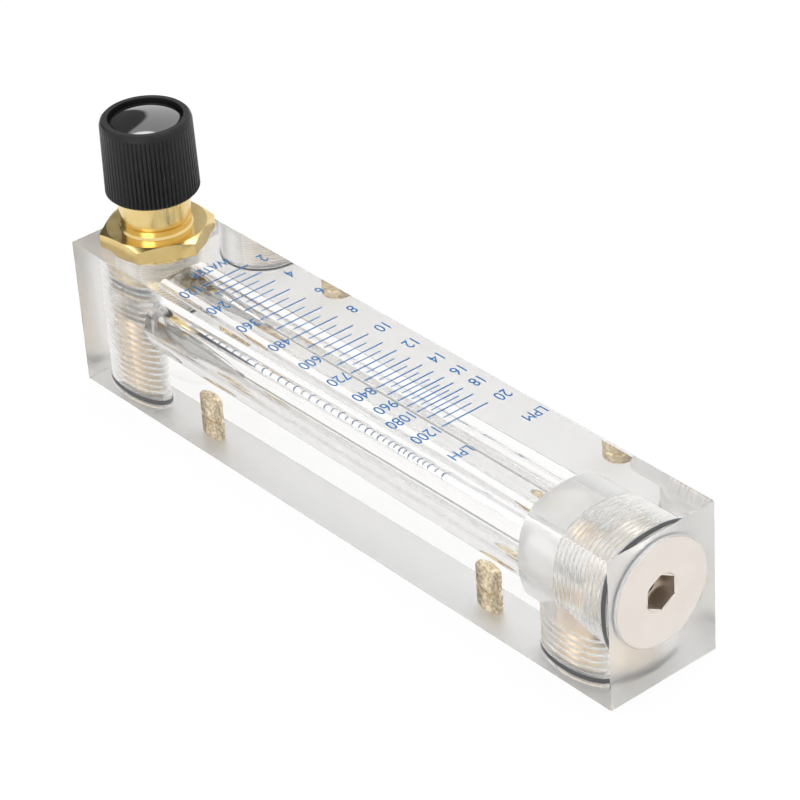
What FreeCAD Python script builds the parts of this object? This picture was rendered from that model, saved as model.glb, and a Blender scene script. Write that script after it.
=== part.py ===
import FreeCAD, Part
import os
import re
import Sketcher

# Rotameter: a clear block with a tapered metering bore, a float that rises in it on a
# thin guide rod, and a needle valve at the inlet end. Millimetres. The origin is the centre of the
# rear face, which lies on z = 0. +X runs along the flow, from the valve to the end
# plug, and is up when the meter is in use. +Z points out of the face that carries
# the scale. +Y is across the scale.

SIZES = {
    # clear block
    "block_length": 152.4,
    "block_width": 25.4,
    "block_depth": 31.75,
    # where the passages lie
    "valve_inset": 11.5,
    "outlet_inset": 13.9,
    "flow_height": 18.7,
    # tapered metering bore
    "meter_low_dia": 11.2,
    "meter_high_dia": 13.8,
    # bore behind the end plug
    "plug_bore_dia": 18.9,
    "plug_bore_length": 24.4,
    "plug_mouth_dia": 21.5,
    "plug_mouth_depth": 3.2,
    # threaded bores for the valve and for the two port fittings
    "valve_bore_dia": 17.2,
    "port_bore_dia": 17.2,
    "thread_clearance": 0.1,
    "oring_seat_dia": 18.0,
    "oring_seat_depth": 2.3,
    # end plug
    "plug_length": 8.2,
    "plug_flange_thick": 1.3,
    "plug_fit_clearance": 0.05,
    "plug_flange_chamfer": 0.2,
    "plug_neck_dia": 17.6,
    "plug_hex_flats": 6.35,
    "plug_hex_depth": 4.5,
    "plug_hex_chamfer": 0.35,
    "plug_oring_thick": 1.8,
    # float, the rod it rides on and its stops
    "float_tail_dia": 5.2,
    "float_foot_dia": 7.0,
    "float_foot_length": 1.4,
    "float_head_dia": 8.5,
    "float_head_rise": 7.4,
    "float_edge_thick": 0.8,
    "float_waist_dia": 4.5,
    "float_waist_rise": 17.2,
    "float_nose_dia": 1.8,
    "float_nose_length": 1.2,
    "float_length": 21.8,
    "float_clearance": 0.08,
    "float_gap": 0.3,
    "rod_dia": 0.8,
    "rod_seat_clearance": 0.02,
    "stop_ring_inset": 8.8,
    "stop_ring_thick": 0.8,
    "stop_ring_wall": 1.0,
    "stop_ring_clearance": 0.05,
    "stop_bar_width": 1.2,
    "stop_hub_dia": 2.6,
    "stop_sleeve_dia": 4.0,
    "stop_sleeve_length": 13.6,
    "stop_sleeve_depth": 2.5,
    "stop_sleeve_clearance": 0.02,
    # valve bonnet
    "hex_flats": 19.84,
    "hex_thick": 3.76,
    "hex_turn": 3.4,
    "hex_chamfer_height": 0.6,
    "hex_foot_dia": 19.8,
    "hex_foot_height": 0.6,
    "bonnet_body_length": 8.0,
    "bonnet_body_chamfer": 0.6,
    "bonnet_oring_thick": 1.8,
    "bonnet_oring_rise": 2.4,
    "neck_base_dia": 13.8,
    "neck_top_dia": 14.6,
    "neck_length": 7.5,
    "neck_groove_rise": 1.5,
    "neck_groove_size": 0.4,
    "neck_edge_chamfer": 0.4,
    "neck_lip_thick": 1.0,
    # valve stem and what it carries
    "stem_dia": 5.0,
    "stem_land_dia": 6.4,
    "stem_clearance": 0.05,
    "stem_travel": 3.2,
    "stem_end_gap": 0.3,
    "stem_thread_length": 4.0,
    "stem_thread_rise": 1.5,
    "stem_land_length": 6.4,
    "stem_groove_dia": 4.2,
    "stem_groove_width": 1.3,
    "stem_groove_inset": 1.0,
    "stem_oring_thick": 1.1,
    "stem_oring_clearance": 0.02,
    "needle_length": 4.0,
    "needle_tip_dia": 1.6,
    "needle_reach": 3.2,
    "ring_thick": 0.8,
    "ring_dia": 8.4,
    "ring_groove_dia": 3.9,
    "ring_clearance": 0.03,
    "ring_slot_width": 3.4,
    # valve seat
    "seat_hole_dia": 4.5,
    "seat_dia": 12.4,
    "seat_thick": 3.2,
    "seat_clearance": 0.02,
    # knob
    "knob_lift": 11.35,
    "knob_height": 16.0,
    "knob_top_dia": 17.6,
    "knob_top_chamfer": 0.4,
    "knob_band_dia": 18.1,
    "knob_band_height": 1.2,
    "knob_skirt_dia": 18.6,
    "knob_skirt_chamfer": 0.5,
    "knob_recess_dia": 14.8,
    "knob_recess_depth": 1.6,
    "knob_hollow_dia": 15.4,
    "knob_hollow_depth": 3.0,
    "flute_depth": 0.35,
    "flute_width": 0.7,
    "flute_count": 66,
    "cap_dia": 13.2,
    "cap_edge_thick": 0.9,
    "cap_dome_height": 0.9,
    "bush_dia": 9.0,
    "bush_length": 9.5,
    "bush_cover_gap": 0.5,
    "bush_clearance": 0.02,
    "screw_dia": 3.0,
    "screw_rise": 7.5,
    "screw_sink": 0.7,
    "screw_socket_flats": 1.5,
    "screw_socket_depth": 1.2,
    # port fittings
    "port_hole_dia": 11.4,
    "port_hole_depth": 11.0,
    "inlet_length": 18.4,
    "inlet_slot_width": 11.0,
    "outlet_gap": 0.25,
    "port_neck_clearance": 0.1,
    "port_flange_clearance": 0.1,
    "port_flange_thick": 0.4,
    "port_mouth_chamfer": 0.6,
    "port_oring_thick": 1.7,
    "port_oring_clearance": 0.05,
    # mounting inserts
    "insert_spacing": 80.4,
    "insert_offset": 1.2,
    "insert_dia": 6.2,
    "insert_length": 9.5,
    "insert_band_length": 3.6,
    "insert_waist_dia": 5.5,
    "insert_chamfer": 0.3,
    "insert_hole_dia": 3.5,
    "insert_hole_depth": 8.3,
}

doc = FreeCAD.newDocument("rotameter")
sheet = doc.addObject("Spreadsheet::Sheet", "Sizes")
for row, (alias, number) in enumerate(SIZES.items(), start=1):
    sheet.set(f"A{row}", alias.replace("_", " "))
    sheet.set(f"B{row}", str(number))
    sheet.setAlias(f"B{row}", alias)
doc.recompute()

# Places along X and Z that several pieces share, as expressions of the sizes.
VALVE_X = "(-block_length / 2 + valve_inset)"
END_X = "(block_length / 2)"
OUTLET_X = f"({END_X} - outlet_inset)"
PLUG_BORE_X = f"({END_X} - plug_bore_length)"
PLUG_INNER_X = f"({END_X} - plug_length)"
STOP_RING_X = f"({VALVE_X} + stop_ring_inset)"
FLOAT_X = f"({STOP_RING_X} + stop_ring_thick + float_gap)"
BONNET_NOSE_Z = "(block_depth - bonnet_body_length)"
NECK_TOP_Z = "(block_depth + hex_thick + neck_length)"
SEAT_TOP_Z = "(port_hole_depth + seat_thick)"
NEEDLE_TIP_Z = f"({SEAT_TOP_Z} - needle_reach)"
RING_Z = f"({BONNET_NOSE_Z} - stem_travel - stem_end_gap - ring_thick)"
THREAD_Z = f"({BONNET_NOSE_Z} + stem_thread_rise)"
LAND_TOP_Z = f"({NECK_TOP_Z} - neck_lip_thick - stem_travel - stem_end_gap)"
KNOB_Z = "(block_depth + knob_lift)"
BUSH_TOP_Z = f"({KNOB_Z} + knob_hollow_depth + bush_length)"
STEM_GROOVES = (f"({LAND_TOP_Z} - stem_land_length + stem_groove_inset)",
                f"({LAND_TOP_Z} - stem_groove_inset - stem_groove_width)")
OUTLET_LENGTH = "(flow_height - plug_bore_dia / 2 - outlet_gap)"
STEM_BORE_DIA = "(stem_land_dia + 2 * stem_clearance)"
SCREW_Z = f"({KNOB_Z} + screw_rise)"
ALONG_X = FreeCAD.Rotation(FreeCAD.Vector(0, 1, 0), 90)
ALONG_Z = FreeCAD.Rotation()


def bound(text):
    """The expression with each size read from the sheet."""
    return re.sub(r"\b[a-z]+(?:_[a-z]+)+\b", lambda word: "Sizes." + word.group(), text)


def size(text):
    """The expression's value, in millimetres."""
    return float(sheet.evalExpression(bound(text)))


def bind(thing, **properties):
    for name, text in properties.items():
        thing.setExpression(name, bound(text))
    return thing


def place(thing, x="0", y="0", z="0", turn=ALONG_Z):
    thing.Placement = FreeCAD.Placement(FreeCAD.Vector(size(x), size(y), size(z)), turn)
    for axis, text in (("x", x), ("y", y), ("z", z)):
        thing.setExpression(f"Placement.Base.{axis}", bound(text))
    return thing


def cylinder(name, dia, length, **where):
    rod = bind(doc.addObject("Part::Cylinder", name), Radius=f"({dia}) / 2", Height=length)
    return place(rod, **where)


def cone(name, first_dia, last_dia, length, **where):
    taper = doc.addObject("Part::Cone", name)
    bind(taper, Radius1=f"({first_dia}) / 2", Radius2=f"({last_dia}) / 2", Height=length)
    return place(taper, **where)


def fuse(name, shapes):
    joined = doc.addObject("Part::MultiFuse", name)
    joined.Shapes = shapes
    return joined


def cut(name, base, tool):
    rest = doc.addObject("Part::Cut", name)
    rest.Base = base
    rest.Tool = tool
    return rest


def oring(name, outer_dia, thick, **where):
    ring = doc.addObject("Part::Torus", name)
    bind(ring, Radius1=f"(({outer_dia}) - {thick}) / 2", Radius2=f"({thick}) / 2")
    return place(ring, **where)


def plane_of(body, role):
    return [part for part in body.Origin.OriginFeatures if part.Role == role][0]


def outline(body, name, role, points):
    """A closed outline whose corners are bound to the sizes, on one of the body's planes."""
    sketch = body.newObject("Sketcher::SketchObject", name)
    sketch.AttachmentSupport = (plane_of(body, role), [""])
    sketch.MapMode = "FlatFace"
    corners = [FreeCAD.Vector(size(u), size(v), 0) for u, v in points]
    for index, corner in enumerate(corners):
        after = corners[(index + 1) % len(corners)]
        sketch.addGeometry(Part.LineSegment(corner, after), False)
    for index, (u, v) in enumerate(points):
        after = (index + 1) % len(points)
        sketch.addConstraint(Sketcher.Constraint("Coincident", index, 2, after, 1))
        for kind, text in (("DistanceX", u), ("DistanceY", v)):
            rule = Sketcher.Constraint(kind, -1, 1, index, 1, size(text))
            number = sketch.addConstraint(rule)
            sketch.setExpression(f"Constraints[{number}]", bound(text))
    return sketch


def turned(name, points, **where):
    """A body turned about its own Z axis from (radius, height) corners."""
    body = doc.addObject("PartDesign::Body", name)
    sketch = outline(body, name + "_profile", "XZ_Plane", points)
    turning = body.newObject("PartDesign::Revolution", name + "_turning")
    turning.Profile = sketch
    turning.ReferenceAxis = (sketch, ["V_Axis"])
    turning.Angle = 360
    place(body, **where)
    return body


def hexagon(flats):
    """Corners of a hexagon about the origin, the first one on +X."""
    radius = f"({flats}) / sqrt(3)"
    half = f"({flats}) / sqrt(3) / 2"
    flat = f"({flats}) / 2"
    return [(radius, "0"), (half, flat), (f"-({half})", flat),
            (f"-({radius})", "0"), (f"-({half})", f"-({flat})"), (half, f"-({flat})")]


def pocket(body, name, sketch, depth, reversed_way=False):
    hole = body.newObject("PartDesign::Pocket", name)
    hole.Profile = sketch
    hole.Reversed = reversed_way
    bind(hole, Length=depth)
    return hole


def ring_of(name, outer_dia, inner_dia, length, **where):
    outer = cylinder(name + "_outside", outer_dia, length, **where)
    inner = cylinder(name + "_inside", inner_dia, length, **where)
    return cut(name, outer, inner)


def acrylic_block():
    """One machined piece: every passage is drilled, reamed or tapped into it."""
    box = doc.addObject("Part::Box", "block_stock")
    bind(box, Length="block_length", Width="block_width", Height="block_depth")
    place(box, x="-block_length / 2", y="-block_width / 2")
    along = {"turn": ALONG_X}
    passages = [
        cone("metering_bore", "meter_low_dia", "meter_high_dia", f"{PLUG_BORE_X} - {VALVE_X}",
             x=VALVE_X, z="flow_height", **along),
        cylinder("plug_bore", "plug_bore_dia", "plug_bore_length",
                 x=PLUG_BORE_X, z="flow_height", **along),
        cylinder("plug_mouth", "plug_mouth_dia", "plug_mouth_depth",
                 x=f"{END_X} - plug_mouth_depth", z="flow_height", **along),
        cylinder("valve_bore", "valve_bore_dia", "block_depth - inlet_length",
                 x=VALVE_X, z="inlet_length"),
        cylinder("inlet_bore", "port_bore_dia", "inlet_length", x=VALVE_X),
        cylinder("inlet_oring_seat", "oring_seat_dia", "oring_seat_depth", x=VALVE_X),
        cylinder("outlet_bore", "port_bore_dia", "flow_height", x=OUTLET_X),
        cylinder("outlet_oring_seat", "oring_seat_dia", "oring_seat_depth", x=OUTLET_X),
    ]
    for label, side in INSERTS:
        passages.append(cylinder(label + "_hole", "insert_dia", "insert_length", x=insert_x(side)))
    return cut("acrylic_block", box, fuse("passages", passages))


INSERTS = (("lower_mounting_insert", "-"), ("upper_mounting_insert", "+"))


def insert_x(side):
    return f"-insert_offset {side} insert_spacing / 2"


def mounting_insert(name, side):
    """A blind threaded insert with two knurled bands, open at the rear face."""
    rim = "insert_dia / 2"
    waist = "insert_waist_dia / 2"
    hole = "insert_hole_dia / 2"
    top = "insert_length"
    return turned(name, [
        (hole, "0"), (f"{rim} - insert_chamfer", "0"), (rim, "insert_chamfer"),
        (rim, "insert_band_length"), (waist, "insert_band_length + insert_chamfer"),
        (waist, f"{top} - insert_band_length - insert_chamfer"),
        (rim, f"{top} - insert_band_length"), (rim, f"{top} - insert_chamfer"),
        (f"{rim} - insert_chamfer", top), ("0", top),
        ("0", "insert_hole_depth"), (hole, "insert_hole_depth"),
    ], x=insert_x(side))


def port_fitting(name, x, length, passage):
    """A sleeve screwed in from the rear, with a female thread and an O-ring neck."""
    body = "port_bore_dia / 2 - thread_clearance"
    neck = "oring_seat_dia / 2 - port_oring_thick - port_oring_clearance - port_neck_clearance"
    flange = "oring_seat_dia / 2 - port_flange_clearance"
    hole = "port_hole_dia / 2"
    return turned(name, [
        (f"{hole} + port_mouth_chamfer", "0"), (flange, "0"), (flange, "port_flange_thick"),
        (neck, "port_flange_thick"), (neck, "oring_seat_depth"), (body, "oring_seat_depth"),
        (body, length), *passage, (hole, "port_mouth_chamfer"),
    ], x=x)


def inlet_fitting():
    """The inlet sleeve holds the valve seat and is slotted where the metering bore meets it."""
    seat = "seat_dia / 2"
    sleeve = port_fitting("inlet_sleeve", VALVE_X, "inlet_length", [
        (seat, "inlet_length"), (seat, "port_hole_depth"), ("port_hole_dia / 2", "port_hole_depth"),
    ])
    slot = doc.addObject("Part::Box", "inlet_slot")
    bind(slot, Length="port_bore_dia / 2", Width="inlet_slot_width",
         Height=f"inlet_length - {SEAT_TOP_Z}")
    place(slot, x=VALVE_X, y="-inlet_slot_width / 2", z=SEAT_TOP_Z)
    return cut("inlet_fitting", sleeve, slot)


def outlet_fitting():
    return port_fitting("outlet_fitting", OUTLET_X, OUTLET_LENGTH,
                        [("port_hole_dia / 2", OUTLET_LENGTH)])


def port_oring(name, x):
    height = "port_flange_thick + port_oring_clearance + port_oring_thick / 2"
    outer = "oring_seat_dia - 2 * port_oring_clearance"
    return oring(name, outer, "port_oring_thick", x=x, z=height)


def end_plug():
    """A flush screw plug with a hexagon socket outside and a hole for the stop inside."""
    body = "plug_bore_dia / 2 - thread_clearance"
    neck = "plug_neck_dia / 2"
    flange = "plug_mouth_dia / 2 - plug_fit_clearance"
    hole = "stop_sleeve_dia / 2 + stop_sleeve_clearance"
    seat = "plug_length - plug_mouth_depth"
    under = "plug_length - plug_flange_thick"
    sink = "plug_length - plug_hex_chamfer"
    plug = turned("end_plug", [
        (hole, "0"), (body, "0"), (body, seat), (neck, seat), (neck, under), (flange, under),
        (flange, "plug_length - plug_flange_chamfer"),
        (f"{flange} - plug_flange_chamfer", "plug_length"),
        ("plug_hex_flats / 2 + 2 * plug_hex_chamfer", "plug_length"),
        ("plug_hex_flats / 2 + plug_hex_chamfer", sink), ("0", sink),
        ("0", "stop_sleeve_depth"), (hole, "stop_sleeve_depth"),
    ], x=PLUG_INNER_X, z="flow_height", turn=ALONG_X)
    socket = outline(plug, "plug_socket_outline", "XY_Plane", hexagon("plug_hex_flats"))
    socket.setExpression("AttachmentOffset.Base.z", bound("plug_length"))
    pocket(plug, "plug_socket", socket, "plug_hex_depth")
    return plug


def end_plug_oring():
    gap = "(plug_mouth_depth - plug_flange_thick - plug_oring_thick) / 2"
    return oring("end_plug_oring", "plug_mouth_dia - 2 * plug_fit_clearance", "plug_oring_thick",
                 x=f"{END_X} - plug_mouth_depth + {gap} + plug_oring_thick / 2",
                 z="flow_height", turn=ALONG_X)


def upper_float_stop():
    """A sleeve in the end plug that holds the guide rod and ends the float's travel."""
    return ring_of("upper_float_stop", "stop_sleeve_dia", "rod_dia + 2 * rod_seat_clearance",
                   "stop_sleeve_length", x=f"{PLUG_INNER_X} + stop_sleeve_depth - stop_sleeve_length",
                   z="flow_height", turn=ALONG_X)


def lower_float_stop():
    """A thin ring with a bar and a hub across it, at the low end of the metering bore."""
    taper = "(meter_high_dia - meter_low_dia)"
    run = f"({PLUG_BORE_X} - {VALVE_X})"
    outer = f"(meter_low_dia + {taper} * stop_ring_inset / {run} - 2 * stop_ring_clearance)"
    where = {"x": STOP_RING_X, "z": "flow_height", "turn": ALONG_X}
    ring = ring_of("stop_ring", outer, f"{outer} - 2 * stop_ring_wall", "stop_ring_thick", **where)
    hub = cylinder("stop_hub", "stop_hub_dia", "stop_ring_thick", **where)
    bar = doc.addObject("Part::Box", "stop_bar")
    reach = f"({outer} - stop_ring_wall)"
    bind(bar, Length="stop_ring_thick", Width="stop_bar_width", Height=reach)
    place(bar, x=STOP_RING_X, y="-stop_bar_width / 2", z=f"flow_height - {reach} / 2")
    hole = cylinder("stop_hub_hole", "rod_dia + 2 * rod_seat_clearance", "stop_ring_thick", **where)
    return cut("lower_float_stop", fuse("stop_stock", [ring, hub, bar]), hole)


def guide_rod():
    """The thin rod that runs from the lower stop into the end plug."""
    length = f"{PLUG_INNER_X} + stop_sleeve_depth - {STOP_RING_X}"
    return cylinder("guide_rod", "rod_dia", length, x=STOP_RING_X, z="flow_height", turn=ALONG_X)


def metering_float():
    """A turned float drilled for the rod: it swells to the reading edge, then narrows."""
    hole = "rod_dia / 2 + float_clearance"
    head = "float_head_dia / 2"
    nose = "float_nose_dia / 2"
    return turned("float", [
        (hole, "0"), ("float_tail_dia / 2", "0"), ("float_foot_dia / 2", "float_foot_length"),
        (head, "float_head_rise"), (head, "float_head_rise + float_edge_thick"),
        ("float_waist_dia / 2", "float_waist_rise"), (nose, "float_length - float_nose_length"),
        (nose, "float_length"), (hole, "float_length"),
    ], x=FLOAT_X, z="flow_height", turn=ALONG_X)


def bonnet_hexagon():
    """The hexagon, with its top corners chamfered and its foot turned round."""
    turn = FreeCAD.Rotation(FreeCAD.Vector(0, 0, 1), size("hex_turn"))
    prism = doc.addObject("Part::Prism", "hexagon_bar")
    prism.Polygon = 6
    bind(prism, Circumradius="hex_flats / sqrt(3)", Height="hex_thick")
    place(prism, x=VALVE_X, z="block_depth", turn=turn)
    prism.setExpression("Placement.Rotation.Angle", bound("hex_turn * 1 deg"))
    foot = cylinder("hexagon_foot", "hex_foot_dia", "hex_foot_height", x=VALVE_X, z="block_depth")
    flat = "hex_flats / 2"
    corner = "hex_flats / sqrt(3)"
    slope = f"({corner} - {flat}) * 1.02"
    envelope = turned("hexagon_envelope", [
        ("0", "hex_foot_height"), (f"{corner} + 1", "hex_foot_height"),
        (f"{corner} + 1", f"hex_thick - hex_chamfer_height * (1 + 1 / ({slope}))"),
        (flat, "hex_thick"), ("0", "hex_thick"),
    ], x=VALVE_X, z="block_depth")
    crown = doc.addObject("Part::MultiCommon", "hexagon_crown")
    crown.Shapes = [prism, envelope]
    return [crown, foot]


def valve_bonnet():
    """One turned brass piece: threaded body, hexagon and neck, bored for the stem."""
    body = "valve_bore_dia / 2 - thread_clearance"
    chamfered = f"{body} - bonnet_body_chamfer"
    groove = "valve_bore_dia / 2 - bonnet_oring_thick - 2 * thread_clearance"
    low = "bonnet_oring_rise - bonnet_oring_thick / 2 - thread_clearance"
    high = "bonnet_oring_rise + bonnet_oring_thick / 2 + thread_clearance"
    face = "bonnet_body_length"
    hexagon_top = f"{face} + hex_thick"
    top = f"{hexagon_top} + neck_length"
    line = f"{hexagon_top} + neck_groove_rise"
    base = "neck_base_dia / 2"
    bore = f"{STEM_BORE_DIA} / 2"
    lip = f"{top} - neck_lip_thick"
    rod = "stem_dia / 2 + stem_clearance"
    core = turned("bonnet_core", [
        (bore, "0"), (chamfered, "0"), (body, "bonnet_body_chamfer"), (body, low), (groove, low),
        (groove, high), (body, high), (body, face), (f"{base} + neck_edge_chamfer", face),
        (f"{base} + neck_edge_chamfer", hexagon_top), (base, f"{hexagon_top} + neck_edge_chamfer"),
        (base, line), (f"{base} - neck_groove_size", f"{line} + neck_groove_size / 2"),
        (base, f"{line} + neck_groove_size"),
        ("neck_top_dia / 2", f"{top} - neck_edge_chamfer"),
        ("neck_top_dia / 2 - neck_edge_chamfer", top),
        (rod, top), (rod, lip), (bore, lip),
    ], x=VALVE_X, z=BONNET_NOSE_Z)
    stock = fuse("bonnet_stock", [core, *bonnet_hexagon()])
    drill = cylinder("bonnet_drill", STEM_BORE_DIA, f"{lip}", x=VALVE_X, z=BONNET_NOSE_Z)
    return cut("valve_bonnet", stock, drill)


def bonnet_oring():
    return oring("bonnet_oring", "valve_bore_dia - thread_clearance", "bonnet_oring_thick",
                 x=VALVE_X, z=f"{BONNET_NOSE_Z} + bonnet_oring_rise")


def valve_stem():
    """Needle, shank with a ring groove, screw land, seal land and the rod for the knob."""
    rod = "stem_dia / 2"
    land = "stem_land_dia / 2"
    ring = "ring_groove_dia / 2"
    groove = "stem_groove_dia / 2"
    foot = NEEDLE_TIP_Z
    points = [("0", "0"), ("needle_tip_dia / 2", "0"), (rod, "needle_length"),
              (rod, f"{RING_Z} - {foot}"), (ring, f"{RING_Z} - {foot}"),
              (ring, f"{RING_Z} - {foot} + ring_thick + ring_clearance"),
              (rod, f"{RING_Z} - {foot} + ring_thick + ring_clearance"),
              (rod, f"{THREAD_Z} - {foot}"), (land, f"{THREAD_Z} - {foot}"),
              (land, f"{THREAD_Z} - {foot} + stem_thread_length"),
              (rod, f"{THREAD_Z} - {foot} + stem_thread_length"),
              (rod, f"{LAND_TOP_Z} - {foot} - stem_land_length"),
              (land, f"{LAND_TOP_Z} - {foot} - stem_land_length")]
    for low in STEM_GROOVES:
        points += [(land, f"{low} - {foot}"), (groove, f"{low} - {foot}"),
                   (groove, f"{low} - {foot} + stem_groove_width"),
                   (land, f"{low} - {foot} + stem_groove_width")]
    points += [(land, f"{LAND_TOP_Z} - {foot}"), (rod, f"{LAND_TOP_Z} - {foot}"),
               (rod, f"{BUSH_TOP_Z} - {foot} - bush_cover_gap"),
               ("0", f"{BUSH_TOP_Z} - {foot} - bush_cover_gap")]
    return turned("valve_stem", points, x=VALVE_X, z=foot)


def stem_oring(name, groove):
    return oring(name, f"{STEM_BORE_DIA} - 2 * stem_oring_clearance", "stem_oring_thick",
                 x=VALVE_X, z=f"{groove} + stem_groove_width / 2")


def stem_retaining_ring():
    """A slotted spring ring that meets the bonnet's nose when the valve is full open."""
    inner = "ring_groove_dia + 2 * ring_clearance"
    closed = ring_of("closed_ring", "ring_dia", inner, "ring_thick", x=VALVE_X, z=RING_Z)
    slot = doc.addObject("Part::Box", "ring_slot")
    bind(slot, Length="ring_dia", Width="ring_slot_width", Height="ring_thick")
    place(slot, x=f"{VALVE_X} - ring_dia", y="-ring_slot_width / 2", z=RING_Z)
    return cut("stem_retaining_ring", closed, slot)


def valve_seat():
    """The disc under the needle, which rests on the step inside the inlet sleeve."""
    return ring_of("valve_seat", "seat_dia - 2 * seat_clearance", "seat_hole_dia", "seat_thick",
                   x=VALVE_X, z="port_hole_depth")


def knob():
    """A moulded knob: recessed top, smooth band, fluted skirt and a hollow over the neck."""
    top = "knob_height"
    band = f"{top} - knob_band_height"
    floor = f"{top} - knob_recess_depth"
    bush = "bush_dia / 2 + bush_clearance"
    bush_top = "knob_hollow_depth + bush_length"
    skirt = "knob_skirt_dia / 2"
    grip = turned("knob_moulding", [
        ("knob_hollow_dia / 2", "0"), (f"{skirt} - knob_skirt_chamfer", "0"),
        (skirt, "knob_skirt_chamfer"), ("knob_band_dia / 2", band),
        ("knob_top_dia / 2", f"{top} - knob_top_chamfer"),
        ("knob_top_dia / 2 - knob_top_chamfer", top), ("knob_recess_dia / 2", top),
        ("knob_recess_dia / 2", floor), ("0", floor), ("0", bush_top), (bush, bush_top),
        (bush, "knob_hollow_depth"), ("knob_hollow_dia / 2", "knob_hollow_depth"),
    ], x=VALVE_X, z=KNOB_Z)
    root = f"{skirt} - flute_depth"
    flute = outline(grip, "flute_outline", "XY_Plane", [
        (root, "0"), (f"{skirt} + flute_depth", "-flute_width"),
        (f"{skirt} + flute_depth", "flute_width"),
    ])
    groove = pocket(grip, "flute", flute, band, reversed_way=True)
    doc.recompute()
    flutes = grip.newObject("PartDesign::PolarPattern", "flutes")
    flutes.Originals = [groove]
    flutes.Axis = (flute, ["N_Axis"])
    flutes.Angle = 360
    bind(flutes, Occurrences="flute_count")
    grip.Tip = flutes
    return cut("knob", grip, screw_hole("knob"))


def screw_hole(owner):
    dia = "screw_dia + 2 * bush_clearance"
    return cylinder(owner + "_screw_hole", dia, "knob_skirt_dia / 2",
                    x=f"{VALVE_X} - knob_skirt_dia / 2", z=SCREW_Z, turn=ALONG_X)


def knob_insert():
    """The brass bush moulded into the knob."""
    bush = ring_of("bush_ring", "bush_dia", "stem_dia + 2 * bush_clearance", "bush_length",
                   x=VALVE_X, z=f"{KNOB_Z} + knob_hollow_depth")
    return cut("knob_insert", bush, screw_hole("bush"))


def knob_set_screw():
    start = f"({VALVE_X} - knob_skirt_dia / 2 + screw_sink)"
    rod = cylinder("screw_rod", "screw_dia", f"{VALVE_X} - stem_dia / 2 - {start}",
                   x=start, z=SCREW_Z, turn=ALONG_X)
    socket = doc.addObject("Part::Prism", "screw_socket")
    socket.Polygon = 6
    bind(socket, Circumradius="screw_socket_flats / sqrt(3)", Height="screw_socket_depth")
    place(socket, x=start, z=SCREW_Z, turn=ALONG_X)
    return cut("knob_set_screw", rod, socket)


def knob_cap():
    """A glossy cap in the knob's recess, with a shallow dome."""
    floor = f"({KNOB_Z} + knob_height - knob_recess_depth)"
    height = "(cap_edge_thick + cap_dome_height)"
    blank = cylinder("cap_blank", "cap_dia", height, x=VALVE_X, z=floor)
    ball = doc.addObject("Part::Sphere", "cap_ball")
    radius = "((cap_dia / 2) ^ 2 + cap_dome_height ^ 2) / (2 * cap_dome_height)"
    bind(ball, Radius=radius)
    place(ball, x=VALVE_X, z=f"{floor} + {height} - {radius}")
    cap = doc.addObject("Part::MultiCommon", "knob_cap")
    cap.Shapes = [blank, ball]
    return cap


def pieces():
    yield acrylic_block()
    yield end_plug()
    yield end_plug_oring()
    yield upper_float_stop()
    yield lower_float_stop()
    yield guide_rod()
    yield metering_float()
    yield valve_bonnet()
    yield bonnet_oring()
    yield valve_stem()
    yield stem_oring("stem_oring_lower", STEM_GROOVES[0])
    yield stem_oring("stem_oring_upper", STEM_GROOVES[1])
    yield stem_retaining_ring()
    yield valve_seat()
    yield knob()
    yield knob_cap()
    yield knob_insert()
    yield knob_set_screw()
    yield inlet_fitting()
    yield port_oring("inlet_fitting_oring", VALVE_X)
    yield outlet_fitting()
    yield port_oring("outlet_fitting_oring", OUTLET_X)
    for name, side in INSERTS:
        yield mounting_insert(name, side)


nodes = list(pieces())
doc.recompute()
for thing in doc.Objects:
    if {"Invalid", "Error"} & set(thing.State):
        raise RuntimeError(f"{thing.Name} did not build: {thing.State}")
for node in nodes:
    if node.Shape.isNull() or not node.Shape.isValid() or not node.Shape.Solids:
        raise RuntimeError(f"{node.Name} has no valid solid")

os.makedirs("parts", exist_ok=True)
for node in nodes:
    node.Shape.exportStep(f"parts/{node.Label}.step")
    box = node.Shape.BoundBox
    print(f"{node.Label}: {len(node.Shape.Solids)} solid, {node.Shape.Volume:.1f} mm3, "
          f"x {box.XMin:.2f}..{box.XMax:.2f} y {box.YMin:.2f}..{box.YMax:.2f} "
          f"z {box.ZMin:.2f}..{box.ZMax:.2f}")
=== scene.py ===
import bpy
import math
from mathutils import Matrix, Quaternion, Vector


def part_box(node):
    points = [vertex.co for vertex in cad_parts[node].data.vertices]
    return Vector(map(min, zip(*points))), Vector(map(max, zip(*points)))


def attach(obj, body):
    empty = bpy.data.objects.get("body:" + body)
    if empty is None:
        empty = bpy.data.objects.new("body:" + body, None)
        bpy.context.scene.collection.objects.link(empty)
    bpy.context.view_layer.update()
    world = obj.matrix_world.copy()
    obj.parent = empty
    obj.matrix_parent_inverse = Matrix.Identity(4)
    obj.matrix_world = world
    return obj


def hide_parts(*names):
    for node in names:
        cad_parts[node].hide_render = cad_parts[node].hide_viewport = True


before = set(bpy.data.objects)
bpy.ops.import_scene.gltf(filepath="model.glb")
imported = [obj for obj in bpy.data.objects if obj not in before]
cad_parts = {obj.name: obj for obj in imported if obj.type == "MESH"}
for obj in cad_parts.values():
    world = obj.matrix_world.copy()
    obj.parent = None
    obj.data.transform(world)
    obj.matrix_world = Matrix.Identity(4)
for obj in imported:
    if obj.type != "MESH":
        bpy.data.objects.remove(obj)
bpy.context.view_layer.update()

# Rotameter in a clear block. The origin is the centre of the rear face, which stands on
# the floor. +X runs along the flow, +Y across the scale, +Z out of the scale face.

MM = 0.001


def middle(node):
    low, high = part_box(node)
    return (Vector(low) + Vector(high)) / 2


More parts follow.
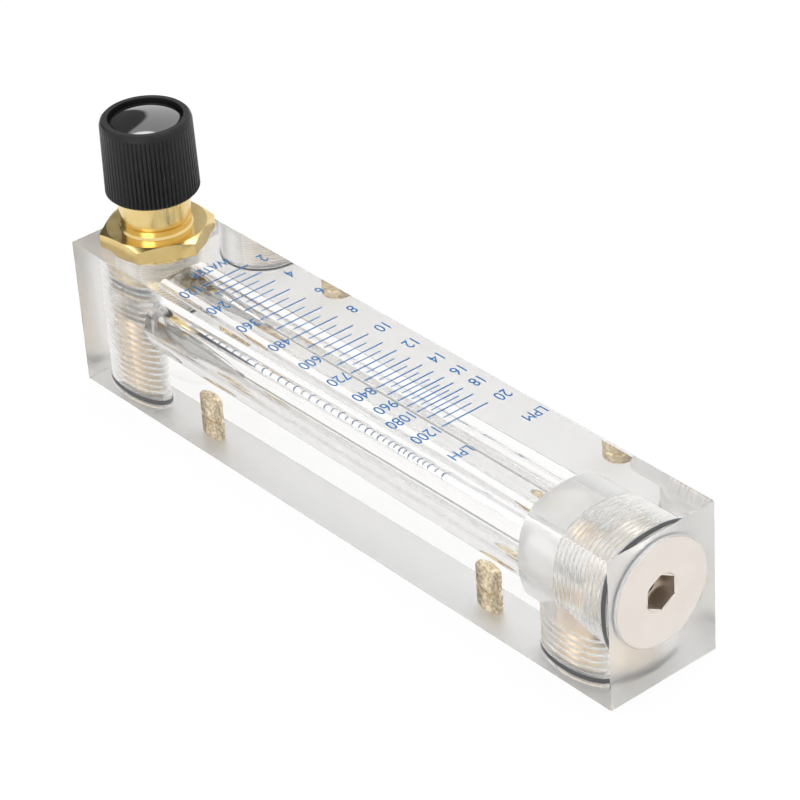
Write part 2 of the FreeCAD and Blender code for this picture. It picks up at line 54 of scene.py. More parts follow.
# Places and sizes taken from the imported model.
BLOCK_LOW, BLOCK_HIGH = (Vector(corner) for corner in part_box("acrylic_block"))
TOP = BLOCK_HIGH.z
END = BLOCK_HIGH.x
VALVE_X = middle("valve_seat").x
OUTLET_X = middle("outlet_fitting").x
FLOW_Z = middle("guide_rod").z
SLEEVE_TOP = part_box("inlet_fitting")[1][2]
OUTLET_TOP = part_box("outlet_fitting")[1][2]

# Sizes of the passages and threads, which scene pieces share.
METER_LOW_RADIUS = 5.6 * MM
METER_HIGH_RADIUS = 6.9 * MM
PLUG_BORE_START = END - 24.4 * MM
PLUG_BORE_RADIUS = 9.45 * MM
PLUG_MOUTH_RADIUS = 10.75 * MM
PLUG_MOUTH_DEPTH = 3.2 * MM
COLUMN_RADIUS = 8.6 * MM
SEAT_RADIUS = 9.0 * MM
SEAT_DEPTH = 2.3 * MM
INSERT_RADIUS = 2.5 * MM
INSERT_DEPTH = 8.2 * MM
COLUMN_PITCH = 1.41 * MM
PLUG_PITCH = 1.06 * MM
THREAD_DEPTH = 0.25 * MM
PORT_HOLE_RADIUS = 5.7 * MM
PAST = 1 * MM  # how far a cutting shape runs past the face it opens


# ---------------------------------------------------------------- materials

ACRYLIC_IOR = 1.49
FINE_GRAIN = 0.000004  # metres of bump


def new_material(name):
    material = bpy.data.materials.new(name)
    material.use_nodes = True
    shader = material.node_tree.nodes["Principled BSDF"]
    return material, material.node_tree, shader


def wire(tree, source, target):
    tree.links.new(source, target)


def noise(tree, scale, detail=3.0, stretch=(1, 1, 1)):
    """Noise on Object coordinates, stretched along the axes that are given."""
    place = tree.nodes.new("ShaderNodeTexCoord")
    mapping = tree.nodes.new("ShaderNodeMapping")
    mapping.inputs["Scale"].default_value = stretch
    texture = tree.nodes.new("ShaderNodeTexNoise")
    texture.inputs["Scale"].default_value = scale
    texture.inputs["Detail"].default_value = detail
    wire(tree, place.outputs["Object"], mapping.inputs["Vector"])
    wire(tree, mapping.outputs["Vector"], texture.inputs["Vector"])
    return texture.outputs["Fac"]


def ramp(tree, factor, low, high, start=0.3, stop=0.7):
    """Two colours blended by a factor."""
    blend = tree.nodes.new("ShaderNodeValToRGB")
    blend.color_ramp.elements[0].position = start
    blend.color_ramp.elements[1].position = stop
    blend.color_ramp.elements[0].color = (*low, 1)
    blend.color_ramp.elements[1].color = (*high, 1)
    wire(tree, factor, blend.inputs["Fac"])
    return blend.outputs["Color"]


def between(tree, factor, low, high):
    """A number that follows a factor from low to high."""
    spread = tree.nodes.new("ShaderNodeMapRange")
    spread.inputs["From Min"].default_value = 0.3
    spread.inputs["From Max"].default_value = 0.7
    spread.inputs["To Min"].default_value = low
    spread.inputs["To Max"].default_value = high
    wire(tree, factor, spread.inputs["Value"])
    return spread.outputs["Result"]


def bump(tree, shader, height, strength, distance):
    lift = tree.nodes.new("ShaderNodeBump")
    lift.inputs["Strength"].default_value = strength
    lift.inputs["Distance"].default_value = distance
    wire(tree, height, lift.inputs["Height"])
    wire(tree, lift.outputs["Normal"], shader.inputs["Normal"])


def clear_plastic(name, tint, low, high):
    """Clear acrylic whose roughness drifts from low to high over the surface."""
    material, tree, shader = new_material(name)
    shader.inputs["Base Color"].default_value = (*tint, 1)
    shader.inputs["IOR"].default_value = ACRYLIC_IOR
    shader.inputs["Transmission Weight"].default_value = 1.0
    wire(tree, between(tree, noise(tree, 220), low, high), shader.inputs["Roughness"])
    return material, shader


def metal(name, dark, light, rough, grain=(1, 1, 1), scale=900, height=FINE_GRAIN):
    """A metal whose colour and roughness vary a little, with a fine grain."""
    material, tree, shader = new_material(name)
    shader.inputs["Metallic"].default_value = 1.0
    cloud = noise(tree, 160, 4)
    wire(tree, ramp(tree, cloud, dark, light), shader.inputs["Base Color"])
    wire(tree, between(tree, cloud, rough * 0.8, rough * 1.2), shader.inputs["Roughness"])
    bump(tree, shader, noise(tree, scale, 3, grain), 0.5, height)
    return material


def moulded(name, colour, rough, grain, coat=0.0, shine=0.5):
    """A moulded or rubber surface with a fine even grain."""
    material, tree, shader = new_material(name)
    shader.inputs["Specular IOR Level"].default_value = shine
    cloud = noise(tree, 300, 3)
    lighter = tuple(min(1.0, part * 1.25 + 0.002) for part in colour)
    wire(tree, ramp(tree, cloud, colour, lighter), shader.inputs["Base Color"])
    wire(tree, between(tree, cloud, rough * 0.9, rough * 1.1), shader.inputs["Roughness"])
    shader.inputs["Coat Weight"].default_value = coat
    shader.inputs["Coat Roughness"].default_value = 0.05
    bump(tree, shader, noise(tree, 3500, 2), 0.4, grain)
    return material


def end_plug_nickel():
    """Satin nickel outside, with painted shade down in the hexagon socket, where the colour is
    painted dark brown.
    """
    socket_reach, face_skin = 2.9 * MM, 0.4 * MM
    material, tree, shader = new_material("satin_nickel")
    shader.inputs["Metallic"].default_value = 1.0
    place = tree.nodes.new("ShaderNodeTexCoord")
    split = tree.nodes.new("ShaderNodeSeparateXYZ")
    wire(tree, place.outputs["Object"], split.inputs[0])
    rise = tree.nodes.new("ShaderNodeMath")
    rise.operation = "SUBTRACT"
    rise.inputs[1].default_value = FLOW_Z
    wire(tree, split.outputs["Z"], rise.inputs[0])
    across = tree.nodes.new("ShaderNodeCombineXYZ")
    wire(tree, split.outputs["Y"], across.inputs["X"])
    wire(tree, rise.outputs[0], across.inputs["Y"])
    radius = tree.nodes.new("ShaderNodeVectorMath")
    radius.operation = "LENGTH"
    wire(tree, across.outputs[0], radius.inputs[0])
    near = tree.nodes.new("ShaderNodeMath")
    near.operation = "LESS_THAN"
    near.inputs[1].default_value = socket_reach
    wire(tree, radius.outputs["Value"], near.inputs[0])
    deep = tree.nodes.new("ShaderNodeMath")
    deep.operation = "LESS_THAN"
    deep.inputs[1].default_value = END - face_skin
    wire(tree, split.outputs["X"], deep.inputs[0])
    # Painted shade: this mask picks the inside of the hexagon socket, which gets a dark colour.
    socket = tree.nodes.new("ShaderNodeMath")
    socket.operation = "MULTIPLY"
    wire(tree, near.outputs[0], socket.inputs[0])
    wire(tree, deep.outputs[0], socket.inputs[1])
    blend = tree.nodes.new("ShaderNodeMix")
    blend.data_type = "RGBA"
    skin = ramp(tree, noise(tree, 160, 4), (0.79, 0.73, 0.67), (0.84, 0.78, 0.72))
    wire(tree, socket.outputs[0], blend.inputs["Factor"])
    wire(tree, skin, blend.inputs["A"])
    # Painted shade: the dark brown colour painted down in the hexagon socket.
    blend.inputs["B"].default_value = (0.13, 0.095, 0.06, 1)
    wire(tree, blend.outputs["Result"], shader.inputs["Base Color"])
    wire(tree, between(tree, noise(tree, 160, 4), 0.34, 0.42), shader.inputs["Roughness"])
    bump(tree, shader, noise(tree, 900, 3), 0.5, FINE_GRAIN)
    return material


def knurled_brass():
    """Knurled brass with painted glints and painted shade: a fine noise paints bright and dark
    speckles into its colour, and also drives the knurl's roughness and bump.
    """
    material, tree, shader = new_material("knurled_brass")
    shader.inputs["Metallic"].default_value = 1.0
    knurl_grain_and_painted_glints = noise(tree, 1500, 1.5)
    # Painted glints and shade: bright and dark speckles in the brass colour.
    wire(tree, ramp(tree, knurl_grain_and_painted_glints, (0.60, 0.46, 0.26), (1.0, 0.86, 0.62), 0.38, 0.62),
         shader.inputs["Base Color"])
    wire(tree, between(tree, knurl_grain_and_painted_glints, 0.5, 0.3), shader.inputs["Roughness"])
    bump(tree, shader, knurl_grain_and_painted_glints, 0.8, 0.0002)
    return material


def printed_ink():
    """Blue ink, thin enough to glow a little from behind."""
    material, tree, shader = new_material("blue_ink")
    cloud = noise(tree, 300, 3)
    wire(tree, ramp(tree, cloud, (0.004, 0.13, 0.36), (0.008, 0.17, 0.43)),
         shader.inputs["Base Color"])
    shader.inputs["Roughness"].default_value = 0.5
    shader.inputs["Specular IOR Level"].default_value = 0.2
    glow = tree.nodes.new("ShaderNodeBsdfTranslucent")
    glow.inputs["Color"].default_value = (0.10, 0.50, 0.90, 1)
    blend = tree.nodes.new("ShaderNodeMixShader")
    blend.inputs["Fac"].default_value = 0.4
    output = tree.nodes["Material Output"]
    wire(tree, shader.outputs[0], blend.inputs[1])
    wire(tree, glow.outputs[0], blend.inputs[2])
    wire(tree, blend.outputs[0], output.inputs["Surface"])
    return material


def polished_acrylic():
    """The polished faces: the scale face and the two long sides."""
    material, _, shader = new_material("polished_acrylic")
    shader.inputs["Base Color"].default_value = (0.995, 0.99, 0.98, 1)
    shader.inputs["IOR"].default_value = ACRYLIC_IOR
    shader.inputs["Transmission Weight"].default_value = 1.0
    shader.inputs["Roughness"].default_value = 0.0
    return material


def satin_acrylic():
    """The sawn ends, finely sanded."""
    material, shader = clear_plastic("satin_acrylic", (0.99, 0.985, 0.975), 0.36, 0.42)
    shader.inputs["Transmission Weight"].default_value = 0.88
    return material


def rear_acrylic():
    """The rear face, left matt."""
    material, shader = clear_plastic("matt_acrylic", (0.985, 0.98, 0.97), 0.55, 0.65)
    shader.inputs["Transmission Weight"].default_value = 0.85
    return material


def reamed_acrylic():
    """The wall of the metering bore: reamed smooth and almost bright."""
    return clear_plastic("reamed_acrylic", (0.985, 0.982, 0.975), 0.04, 0.08)[0]


def bored_acrylic():
    """The wall of a bored passage: frosted by the tool."""
    material, shader = clear_plastic("bored_acrylic", (0.99, 0.99, 0.985), 0.4, 0.5)
    shader.inputs["Transmission Weight"].default_value = 0.7
    return material


def tapped_acrylic():
    """The flanks of the threads cut in the block are frosted too."""
    material, shader = clear_plastic("tapped_acrylic", (0.995, 0.98, 0.95), 0.3, 0.42)
    shader.inputs["Transmission Weight"].default_value = 0.75
    return material


POLISHED = polished_acrylic()
SATIN = satin_acrylic()
REAR = rear_acrylic()
REAMED = reamed_acrylic()
BORED = bored_acrylic()
TAPPED = tapped_acrylic()
BRASS = metal("turned_brass", (0.74, 0.54, 0.21), (0.86, 0.68, 0.33), 0.2)
PORT_BRASS = metal("port_brass", (0.90, 0.68, 0.40), (0.96, 0.80, 0.56), 0.4)
KNURLED_BRASS = knurled_brass()
NICKEL = end_plug_nickel()
STAINLESS = metal("turned_stainless", (0.42, 0.42, 0.41), (0.54, 0.53, 0.52), 0.2)
DARK_STEEL = metal("dark_steel", (0.20, 0.20, 0.21), (0.30, 0.30, 0.31), 0.35)
KNOB_BLACK = moulded("satin_black_plastic", (0.008, 0.008, 0.009), 0.4, 0.00001, shine=0.28)
CAP_BLACK = moulded("glossy_black_plastic", (0.006, 0.006, 0.007), 0.06, 0.0, coat=1.0)
CAP_BLACK.node_tree.nodes["Principled BSDF"].inputs["Coat IOR"].default_value = 2.1
RUBBER = moulded("black_rubber", (0.018, 0.018, 0.020), 0.55, 0.00001)
SEAT_WHITE = moulded("seat_plastic", (0.78, 0.77, 0.74), 0.4, 0.000005)
INK = printed_ink()


def finish_nodes(material, *names):
    """Gives CAD nodes, whose meshes stay as they are, their material."""
    for name in names:
        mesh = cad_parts[name].data
        for index in range(max(1, len(mesh.materials))):
            if len(mesh.materials) <= index:
                mesh.materials.append(material)
            else:
                mesh.materials[index] = material


# ---------------------------------------------------------------- modelling helpers

def fresh():
    """Object mode with nothing selected."""
    if bpy.context.object and bpy.context.object.mode != "OBJECT":
        bpy.ops.object.mode_set(mode="OBJECT")
    bpy.ops.object.select_all(action="DESELECT")


def only(piece):
    fresh()
    piece.select_set(True)
    bpy.context.view_layer.objects.active = piece


def settle(piece, location=(0, 0, 0), rotation=(0, 0, 0)):
    """Moves the place and turn into the mesh, so that the object sits at the origin."""
    only(piece)
    piece.location = Vector(piece.location) + Vector(location)
    piece.rotation_euler = rotation
    bpy.ops.object.transform_apply(location=True, rotation=True, scale=True)
    return piece


def smooth(piece, degrees=35):
    only(piece)
    bpy.ops.object.shade_smooth_by_angle(angle=math.radians(degrees))
    return piece


def paint(piece, material):
    piece.data.materials.clear()
    piece.data.materials.append(material)
    return piece


def turned(name, outline, centre=(0, 0, 0), along="Z", sides=96, hollow=False):
    """A turned piece: a circle is extruded and resized along (radius, height) corners.
    A hollow one ends where it began, which closes its wall."""
    fresh()
    radius, height = outline[0]
    bpy.ops.mesh.primitive_circle_add(vertices=sides, radius=radius, location=(0, 0, height))
    piece = bpy.context.object
    piece.name = piece.data.name = name
    bpy.ops.object.mode_set(mode="EDIT")
    bpy.ops.mesh.select_all(action="SELECT")
    for next_radius, next_height in outline[1:]:
        rise = (0, 0, next_height - height)
        bpy.ops.mesh.extrude_region_move(TRANSFORM_OT_translate={"value": rise})
        ratio = next_radius / radius
        bpy.ops.transform.resize(value=(ratio, ratio, 1))
        radius, height = next_radius, next_height
    bpy.ops.mesh.select_all(action="SELECT")
    if hollow:
        bpy.ops.mesh.remove_doubles(threshold=0.000001)
    else:
        bpy.ops.mesh.fill_holes(sides=0)
    bpy.ops.mesh.select_all(action="SELECT")
    bpy.ops.mesh.normals_make_consistent(inside=False)
    bpy.ops.object.mode_set(mode="OBJECT")
    settle(piece)
    turn = (0, math.radians(90), 0) if along == "X" else (0, 0, 0)
    return settle(piece, centre, turn)


def threads(crest, root, start, stop, pitch=COLUMN_PITCH):
    """Corners of a thread form between two heights."""
    turns = max(1, round((stop - start) / pitch))
    step = (stop - start) / turns
    corners = [(root, start)]
    for turn in range(turns):
        corners.append((crest, start + (turn + 0.5) * step))
        corners.append((root, start + (turn + 1) * step))
    return corners


def carve(piece, tool, operation="DIFFERENCE"):
    """Cuts the tool out of the piece and deletes the tool. The cut takes its material."""
    only(piece)
    change = piece.modifiers.new("cut", "BOOLEAN")
    change.object = tool
    change.operation = operation
    change.solver = "EXACT"
    change.material_mode = "TRANSFER"
    bpy.ops.object.modifier_apply(modifier=change.name)
    bpy.data.objects.remove(tool)
    return piece


def seat(piece, body, slot, *nodes):
    """Puts a finished piece on its body, in the place of the CAD nodes it stands for."""
    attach(piece, body)
    if nodes:
        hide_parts(*nodes)
    return piece


# ---------------------------------------------------------------- the clear block

def block_stock():
    """The sawn and polished bar, its edges just broken."""
    broken_edge = 0.12 * MM
    fresh()
    size = BLOCK_HIGH - BLOCK_LOW
    bpy.ops.mesh.primitive_cube_add(size=1, location=(BLOCK_HIGH + BLOCK_LOW) / 2, scale=size)
    piece = bpy.context.object
    piece.name = piece.data.name = "clear_block"
    bpy.ops.object.mode_set(mode="EDIT")
    bpy.ops.mesh.select_all(action="SELECT")
    bpy.ops.mesh.bevel(offset=broken_edge, segments=2)
    bpy.ops.object.mode_set(mode="OBJECT")
    settle(piece)
    paint(piece, POLISHED)
    piece.data.materials.append(SATIN)
    piece.data.materials.append(REAR)
    for face in piece.data.polygons:
        if abs(face.normal.x) > 0.5:
            face.material_index = 1
        elif face.normal.z < -0.5:
            face.material_index = 2
    return piece


def passage_tools():
    """The shapes of the bores: the metering bore is reamed, the other plain ones are bored, and
    those for threads are tapped.
    """
    flow = (0, 0, FLOW_Z)
    plug_run = PLUG_BORE_RADIUS - 0.05 * MM
    column_run = COLUMN_RADIUS - 0.05 * MM
    yield REAMED, turned("metering", [
        (METER_LOW_RADIUS, VALVE_X), (METER_HIGH_RADIUS, PLUG_BORE_START + PAST),
    ], flow, "X", 128)
    yield BORED, turned("plug_run", [
        (plug_run, PLUG_BORE_START), (plug_run, END - PLUG_MOUTH_DEPTH + PAST),
    ], flow, "X", 128)
    yield TAPPED, turned("plug_thread", threads(
        PLUG_BORE_RADIUS + THREAD_DEPTH, PLUG_BORE_RADIUS,
        PLUG_BORE_START + 9 * MM, END - PLUG_MOUTH_DEPTH + 0.2 * MM, PLUG_PITCH,
    ), flow, "X", 128)
    yield BORED, turned("plug_mouth", [
        (PLUG_MOUTH_RADIUS, END - PLUG_MOUTH_DEPTH), (PLUG_MOUTH_RADIUS, END + PAST),
    ], flow, "X", 128)
    yield TAPPED, turned("valve_thread", threads(
        COLUMN_RADIUS + THREAD_DEPTH, COLUMN_RADIUS, SEAT_DEPTH - 0.5 * MM, TOP - 0.5 * MM,
    ), (VALVE_X, 0, 0))
    yield BORED, turned("valve_mouth", [
        (COLUMN_RADIUS, TOP - PAST), (COLUMN_RADIUS, TOP + PAST),
    ], (VALVE_X, 0, 0))
    yield TAPPED, turned("outlet_thread", threads(
        COLUMN_RADIUS + THREAD_DEPTH, COLUMN_RADIUS, SEAT_DEPTH - 0.5 * MM, FLOW_Z - 8 * MM,
    ), (OUTLET_X, 0, 0))
    yield BORED, turned("outlet_run", [
        (column_run, SEAT_DEPTH), (column_run, FLOW_Z),
    ], (OUTLET_X, 0, 0))
    for x in (VALVE_X, OUTLET_X):
        yield BORED, turned("oring_seat", [(SEAT_RADIUS, -PAST), (SEAT_RADIUS, SEAT_DEPTH)],
                            (x, 0, 0), sides=128)
    for node in ("lower_mounting_insert", "upper_mounting_insert"):
        yield BORED, turned("insert_hole", [
            (INSERT_RADIUS, -PAST), (INSERT_RADIUS, INSERT_DEPTH),
        ], (middle(node).x, 0, 0), sides=48)


def clear_block():
    piece = block_stock()
    for material, tool in passage_tools():
        carve(piece, paint(tool, material))
    smooth(piece, 22)
    return seat(piece, "block", "clear_acrylic", "acrylic_block")


# ---------------------------------------------------------------- brass

def sleeve(name, node, x, top, crown=()):
    """A port fitting: threads outside for the block, and inside for a pipe."""
    hole = PORT_HOLE_RADIUS
    outside = COLUMN_RADIUS - 0.1 * MM
    neck, rim, lip = 7.15 * MM, 8.9 * MM, 0.4 * MM
    outline = [(hole + 0.6 * MM, 0), (rim, 0), (rim, lip), (neck, lip),
               (neck, SEAT_DEPTH), *threads(outside, outside - THREAD_DEPTH, SEAT_DEPTH, top),
               *crown]
    low = 1 * MM
    high = crown[-1][1] if crown else top
    pipe = threads(hole - 0.5 * MM, hole, low, high, 1.4 * MM)
    outline += pipe[::-1] + [outline[0]]
    piece = turned(name, outline, (x, 0, 0), hollow=True)
    smooth(paint(piece, PORT_BRASS))
    return seat(piece, "block", "brass", node)


def inlet_sleeve():
    bore = 6.2 * MM
    crown = [(bore, SLEEVE_TOP), (bore, 11 * MM)]
    piece = sleeve("inlet_port_sleeve", "inlet_fitting", VALVE_X, SLEEVE_TOP, crown)
    fresh()
    slot_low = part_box("valve_seat")[1][2]
    slot_width = 11 * MM
    size = (COLUMN_RADIUS + PAST, slot_width, SLEEVE_TOP - slot_low + PAST)
    centre = (VALVE_X + size[0] / 2, 0, slot_low + size[2] / 2)
    bpy.ops.mesh.primitive_cube_add(size=1, location=centre, scale=size)
    tool = settle(bpy.context.object)
    carve(piece, paint(tool, PORT_BRASS))
    smooth(piece)


def outlet_sleeve():
    sleeve("outlet_port_sleeve", "outlet_fitting", OUTLET_X, OUTLET_TOP)


def knurl(piece, sides, low, high, lift):
    """Lifts every other corner of a turned piece's rings, which leaves a diamond pattern."""
    only(piece)
    rings = sorted({round(vertex.co.z, 7) for vertex in piece.data.vertices})
    for vertex in piece.data.vertices:
        vertex.select = False
        if low < vertex.co.z < high:
            turn = math.atan2(vertex.co.y, vertex.co.x) / (2 * math.pi) * sides
            vertex.select = (round(turn) + rings.index(round(vertex.co.z, 7))) % 2 == 0
    for edge in piece.data.edges:
        edge.select = False
    for face in piece.data.polygons:
        face.select = False
    bpy.ops.object.mode_set(mode="EDIT")
    bpy.ops.mesh.select_mode(type="VERT")
    bpy.ops.transform.resize(value=(lift, lift, 1))
    bpy.ops.object.mode_set(mode="OBJECT")


def mounting_inserts():
    """Press-in inserts: rounded ends, a waist and two bands of diamond knurling."""
    sides, knurl_lift = 40, 1.08
    drill_root, drill_crest, drill_pitch = 1.75 * MM, 1.95 * MM, 0.7 * MM
    for node in ("lower_mounting_insert", "upper_mounting_insert"):
        low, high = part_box(node)
        radius = (high[0] - low[0]) / 2 - 0.1 * MM
        length = high[2] - low[2]
        waist = radius - 0.45 * MM
        step = 0.5 * MM
        lower_band = [(radius, 0.5 * MM + step * turn) for turn in range(8)]
        upper_band = [(radius, length - 0.9 * MM - step * turn) for turn in range(8)][::-1]
        piece = turned(node.replace("mounting", "knurled"), [
            (radius - 0.4 * MM, 0), *lower_band,
            (waist, lower_band[-1][1] + 0.3 * MM), (waist, upper_band[0][1] - 0.3 * MM),
            *upper_band, (radius - 0.3 * MM, length - 0.3 * MM), (radius - 1.0 * MM, length),
        ], sides=sides)
        knurl(piece, sides, 0.4 * MM, lower_band[-1][1] + 0.01 * MM, knurl_lift)
        knurl(piece, sides, upper_band[0][1] - 0.01 * MM, length - 0.8 * MM, knurl_lift)
        drill = turned("insert_drill", threads(
            drill_crest, drill_root, -PAST, length - 2.5 * MM, drill_pitch), sides=32)
        carve(paint(piece, KNURLED_BRASS), paint(drill, KNURLED_BRASS))
        smooth(piece, 20)
        settle(piece, (middle(node).x, 0, 0))
        seat(piece, "block", "brass", node)


def squeezed_ring(name, node, radius, width, depth, along="Z"):
    """A rubber ring pressed flat where it meets its bore."""
    centre = middle(node)
    half, flat, round_off = width / 2, width * 0.3, depth * 0.3
    outline = [(radius, -flat), (radius, flat), (radius - round_off, half),
               (radius - depth + round_off, half), (radius - depth, flat),
               (radius - depth, -flat), (radius - depth + round_off, -half),
               (radius - round_off, -half), (radius, -flat)]
    piece = turned(name, outline, centre, along, 128, hollow=True)
    smooth(paint(piece, RUBBER), 50)
    return seat(piece, "block", "black_rubber", node)


def rubber_rings():
    squeeze, section = 0.06 * MM, 1.6 * MM  # squeeze is how far rubber reaches into the acrylic
    squeezed_ring("plug_ring", "end_plug_oring", PLUG_MOUTH_RADIUS + squeeze,
                  1.7 * MM, section, "X")
    for port in ("inlet", "outlet"):
        squeezed_ring(f"{port}_ring", f"{port}_fitting_oring", SEAT_RADIUS + squeeze,
                      section, section)


# ---------------------------------------------------------------- print

def line(name, x, y, width, length):
    """One printed line of the scale, a thin film on the block."""
    fresh()
    film = 0.02 * MM
    bpy.ops.mesh.primitive_cube_add(size=1, location=(x, y, TOP),
                                    scale=(width, length, film))
    piece = settle(bpy.context.object)
    piece.name = name
    return piece


def words(name, text, x, y, height, stretch=0.86, align="CENTER"):
    """Printed words that read along -Y, with their tops towards +X."""
    fresh()
    bpy.ops.object.text_add(location=(0, 0, 0))
    label = bpy.context.object
    label.data.body = text
    label.data.align_x = align
    label.data.align_y = "CENTER"
    label.data.extrude = 0.0035
    label.data.resolution_u = 4
    bpy.ops.object.convert(target="MESH")
    label.name = name
    ratio = height / label.dimensions.y
    label.scale = (ratio * stretch, ratio, ratio)
    bpy.ops.object.transform_apply(location=True, rotation=True, scale=True)
    low = min(vertex.co.y for vertex in label.data.vertices)
    return settle(label, (x - low - height / 2, y, TOP), (0, 0, math.radians(-90)))


# Where the float's edge stands for each flow in litres a minute, in millimetres.
FLOW_MARKS = {2: -44.0, 3: -40.0, 4: -35.6, 5: -31.1, 6: -26.4, 7: -21.6, 8: -16.9, 9: -12.3,
              10: -7.9, 11: -3.7, 12: 0.25, 13: 4.0, 14: 7.45, 15: 10.6, 16: 13.5, 17: 16.1,
              18: 18.7, 19: 21.5, 20: 25.5}
MARK_Y = 0.45 * MM


def scale_print():
    """The scale: long lines at whole flows, short ones between, and two rows of numbers."""
    parts = []
    flows = sorted(FLOW_MARKS)
    for flow in flows:
        x = FLOW_MARKS[flow] * MM
        parts.append(line("long_line", x, MARK_Y, 0.32 * MM, 11.1 * MM))
        if flow + 1 in FLOW_MARKS:
            half = (FLOW_MARKS[flow] + FLOW_MARKS[flow + 1]) / 2 * MM
            parts.append(line("short_line", half, MARK_Y, 0.26 * MM, 6.7 * MM))
        if flow % 2 == 0:
            parts.append(words("number", str(flow), x, 9.6 * MM, 2.8 * MM, 0.78))
            hourly = str(flow * 60)
            parts.append(words("number", hourly, x, -5.6 * MM, 2.8 * MM, 0.78, "LEFT"))
    parts.append(words("word", "WATER", -48.3 * MM, 0.1 * MM, 2.35 * MM, 0.78))
    parts.append(words("word", "LPM", 34.2 * MM, 9.5 * MM, 2.4 * MM, 0.82))
    parts.append(words("word", "LPH", 34.2 * MM, -5.7 * MM, 2.4 * MM, 0.82, "LEFT"))
    only(parts[0])
    for part in parts:
        part.select_set(True)
    bpy.ops.object.join()
    piece = bpy.context.object
    piece.name = piece.data.name = "scale_print"
    return seat(paint(piece, INK), "block", None)


# ---------------------------------------------------------------- studio

def floor():
    """A plain pale floor that looks white and keeps a soft shadow."""
    white_share = 0.92
    fresh()
    bpy.ops.mesh.primitive_plane_add(size=6, location=(0, 0, BLOCK_LOW.z - 0.05 * MM))
    sheet = bpy.context.object
    sheet.name = "studio_floor"
    material = bpy.data.materials.new("pale_floor")
    material.use_nodes = True
    tree = material.node_tree
    tree.nodes.clear()
    paper = tree.nodes.new("ShaderNodeBsdfDiffuse")
    paper.inputs["Color"].default_value = (0.86, 0.86, 0.86, 1)
    glow = tree.nodes.new("ShaderNodeEmission")
    glow.inputs["Color"].default_value = (1, 1, 1, 1)
    ray = tree.nodes.new("ShaderNodeLightPath")
    seen = tree.nodes.new("ShaderNodeMath")
    seen.operation = "MAXIMUM"
    through = tree.nodes.new("ShaderNodeMath")
    through.operation = "MAXIMUM"
    part = tree.nodes.new("ShaderNodeMath")
    part.operation = "MULTIPLY"
    part.inputs[1].default_value = white_share
    blend = tree.nodes.new("ShaderNodeMixShader")
    output = tree.nodes.new("ShaderNodeOutputMaterial")
    wire(tree, ray.outputs["Is Camera Ray"], seen.inputs[0])
    wire(tree, ray.outputs["Is Glossy Ray"], seen.inputs[1])
    wire(tree, seen.outputs[0], through.inputs[0])
    wire(tree, ray.outputs["Is Transmission Ray"], through.inputs[1])
    wire(tree, through.outputs[0], part.inputs[0])
    wire(tree, part.outputs[0], blend.inputs["Fac"])
    wire(tree, paper.outputs[0], blend.inputs[1])
    wire(tree, glow.outputs[0], blend.inputs[2])
    wire(tree, blend.outputs[0], output.inputs["Surface"])
    paint(sheet, material)


def sky():
    """A soft white studio with one dark card to the left, which gives the gloss an edge.
    Light that has come through the acrylic doesn't see the card."""
    card_direction = (-0.901, 0.095, 0.423)
    world = bpy.data.worlds.new("studio")
    bpy.context.scene.world = world
    world.use_nodes = True
    tree = world.node_tree
    light = tree.nodes["Background"]
    place = tree.nodes.new("ShaderNodeTexCoord")
    aim = tree.nodes.new("ShaderNodeVectorMath")
    aim.operation = "DOT_PRODUCT"
    aim.inputs[1].default_value = card_direction
    wire(tree, place.outputs["Generated"], aim.inputs[0])
    card = tree.nodes.new("ShaderNodeMapRange")
    card.inputs["From Min"].default_value = 0.890
    card.inputs["From Max"].default_value = 0.905
    wire(tree, aim.outputs["Value"], card.inputs["Value"])
    ray = tree.nodes.new("ShaderNodeLightPath")
    outside = tree.nodes.new("ShaderNodeMath")
    outside.operation = "SUBTRACT"
    outside.use_clamp = True
    wire(tree, card.outputs["Result"], outside.inputs[0])
    wire(tree, ray.outputs["Is Transmission Ray"], outside.inputs[1])
    blend = tree.nodes.new("ShaderNodeMix")
    blend.data_type = "RGBA"
    blend.inputs["A"].default_value = (1.0, 1.0, 1.0, 1)
    blend.inputs["B"].default_value = (0.12, 0.12, 0.12, 1)
    wire(tree, outside.outputs[0], blend.inputs["Factor"])
    wire(tree, blend.outputs["Result"], light.inputs["Color"])
    light.inputs["Strength"].default_value = 1.0


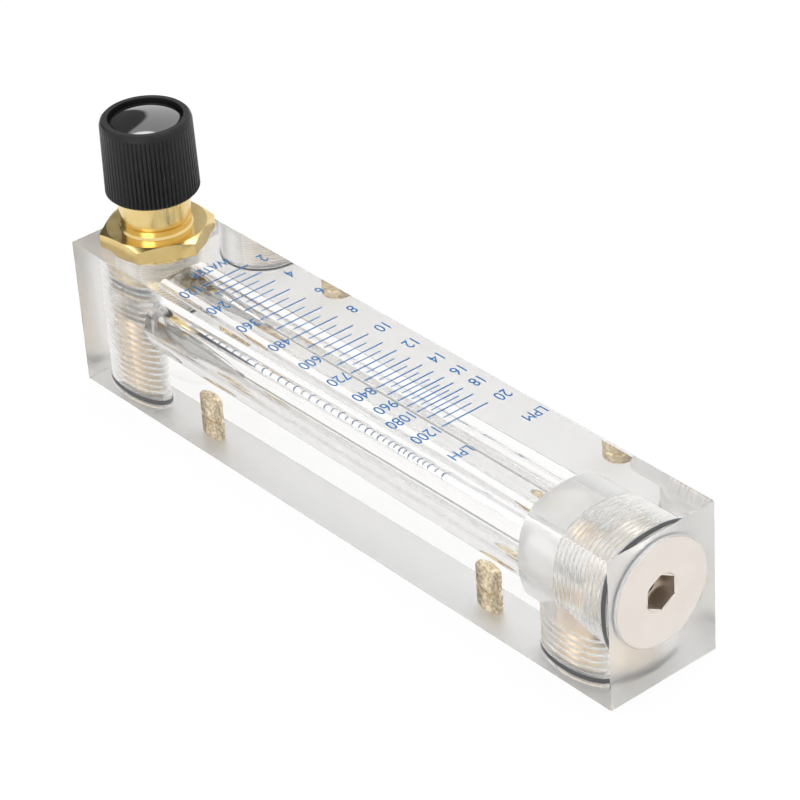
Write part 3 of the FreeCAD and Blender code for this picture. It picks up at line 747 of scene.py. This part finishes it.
def soft_box(name, location, size, power, aim=(0, 0, 0.02)):
    lamp = bpy.data.lights.new(name, "AREA")
    lamp.shape = "RECTANGLE"
    lamp.size, lamp.size_y = size
    lamp.energy = power
    holder = bpy.data.objects.new(name, lamp)
    bpy.context.collection.objects.link(holder)
    holder.location = location
    holder.rotation_euler = (Vector(location) - Vector(aim)).to_track_quat("Z", "Y").to_euler()


def camera():
    """The camera looks down on the scale face from the side of the end plug."""
    azimuth, elevation, roll = math.radians(51.49), math.radians(32.88), math.radians(-3.884)
    aim = Vector((-0.70, 6.74, 20.00)) * MM
    distance = 640.5 * MM
    back = Vector((math.sin(azimuth) * math.cos(elevation),
                   -math.cos(azimuth) * math.cos(elevation), math.sin(elevation)))
    lens = bpy.data.cameras.new("camera")
    lens.lens = 154.28
    lens.sensor_width = 36
    lens.clip_start = 0.01
    holder = bpy.data.objects.new("camera", lens)
    bpy.context.collection.objects.link(holder)
    holder.location = aim + back * distance
    holder.rotation_mode = "QUATERNION"
    upright = (-back).to_track_quat("-Z", "Y")
    holder.rotation_quaternion = upright @ Quaternion((0, 0, 1), roll)
    bpy.context.scene.camera = holder


finish_nodes(BRASS, "valve_bonnet")
finish_nodes(PORT_BRASS, "knob_insert")
finish_nodes(NICKEL, "end_plug")
finish_nodes(STAINLESS, "float", "guide_rod", "lower_float_stop", "upper_float_stop", "valve_stem",
             "stem_retaining_ring")
finish_nodes(DARK_STEEL, "knob_set_screw")
finish_nodes(KNOB_BLACK, "knob")
finish_nodes(CAP_BLACK, "knob_cap")
finish_nodes(SEAT_WHITE, "valve_seat")
finish_nodes(RUBBER, "bonnet_oring", "stem_oring_lower", "stem_oring_upper")

clear_block()
inlet_sleeve()
outlet_sleeve()
mounting_inserts()
rubber_rings()
scale_print()

floor()
sky()
soft_box("overhead_light", (-0.2, 0.2, 0.9), (0.9, 0.6), 5)
soft_box("side_light", (0.3, -0.9, 0.5), (0.6, 0.4), 3)
camera()
bpy.context.scene.view_settings.view_transform = "Standard"
bpy.context.scene.cycles.max_bounces = 24
bpy.context.scene.cycles.glossy_bounces = 16
bpy.context.scene.cycles.transmission_bounces = 24
